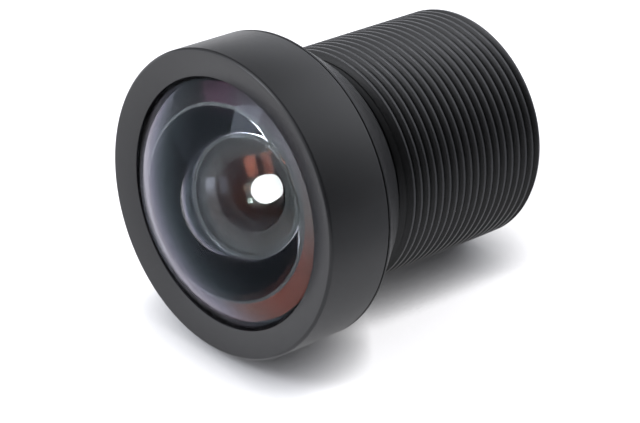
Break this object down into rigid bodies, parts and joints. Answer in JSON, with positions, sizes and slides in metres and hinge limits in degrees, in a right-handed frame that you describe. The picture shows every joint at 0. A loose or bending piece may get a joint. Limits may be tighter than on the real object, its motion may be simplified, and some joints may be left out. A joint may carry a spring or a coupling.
{
  "type": "m12 board camera lens",
  "caption": "Wide-angle M12 board camera lens in black anodised aluminium, with a domed coated front glass, a conical shoulder and a long fine-pitch mounting thread",
  "frame": {"origin": "centre of the rear end face, on the optical axis; the lens stands on its rear end", "axes": "+Z is the optical axis, from the rear end towards the front glass; +X runs through one of the two spanner slots of the rear retaining ring; +Y completes the right-handed frame"},
  "size_m": [0.0154, 0.0154, 0.0186],
  "materials": {
    "black_anodised": "satin black anodised",
    "inner_anodised": "matt black anodised",
    "front_glass": "polished, violet antireflection coating",
    "inner_glass": "polished, antireflection coating",
    "filter_glass": "polished, infrared-cut coating",
    "black_film": "matt black film",
    "black_plastic": "matt",
    "seal_rubber": "matt"
  },
  "bodies": {
    "root": {"barrel": "black_anodised", "head_ring": "black_anodised", "lens_1": "front_glass", "seal_ring": "seal_rubber", "spacer_1": "inner_anodised", "lens_2": "inner_glass", "light_sheet_2": "black_film", "spacer_2": "inner_anodised", "lens_3": "inner_glass", "spacer_3": "inner_anodised", "aperture_stop": "black_film", "lens_4": "inner_glass", "lens_5": "inner_glass", "light_sheet_5": "black_film", "spacer_5": "inner_anodised", "lens_6": "inner_glass", "light_sheet_6": "black_film", "rear_retaining_ring": "black_anodised", "ir_filter": "filter_glass", "filter_ring": "black_plastic"}
  },
  "joints": []
}
